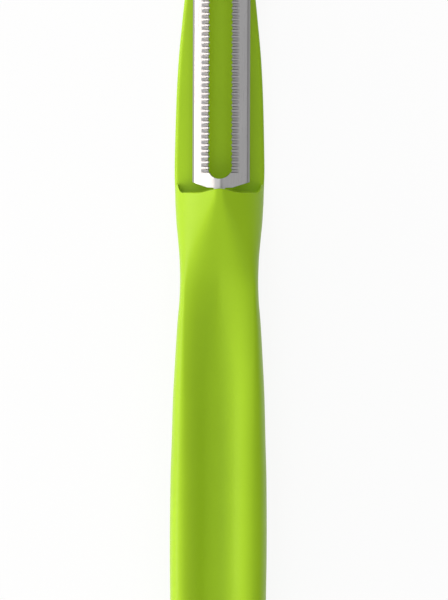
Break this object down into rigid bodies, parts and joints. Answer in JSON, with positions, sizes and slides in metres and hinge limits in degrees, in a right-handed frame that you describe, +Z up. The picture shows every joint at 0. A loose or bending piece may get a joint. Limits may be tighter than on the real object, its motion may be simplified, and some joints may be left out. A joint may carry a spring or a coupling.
{
  "type": "vegetable peeler",
  "caption": "Straight swivel peeler: a grooved moulded grip whose head bows behind a folded, double-edged blade with scalloped teeth, which swings on its own tangs.",
  "frame": {"origin": "under the middle of the peeler, on the plane that its back rests on", "axes": "+Z up, out of the blade's cutting side; +Y along the peeler, from the butt to the nose; +X to the right, seen from the cutting side with the nose up"},
  "size_m": [0.0204, 0.186, 0.0135],
  "materials": {
    "lime_plastic": "fine spark-eroded mould texture, matte",
    "blade_steel": "fine satin, ground flutes"
  },
  "bodies": {
    "handle": {"handle": "lime_plastic"},
    "blade": {"blade": "blade_steel"}
  },
  "joints": [
    {"name": "blade_swivel", "type": "hinge", "parent": "handle", "child": "blade", "pos_m": [0, 0.04785, 0.00971], "axis": [0, 1, 0], "range_deg": [-35, 49]}
  ]
}
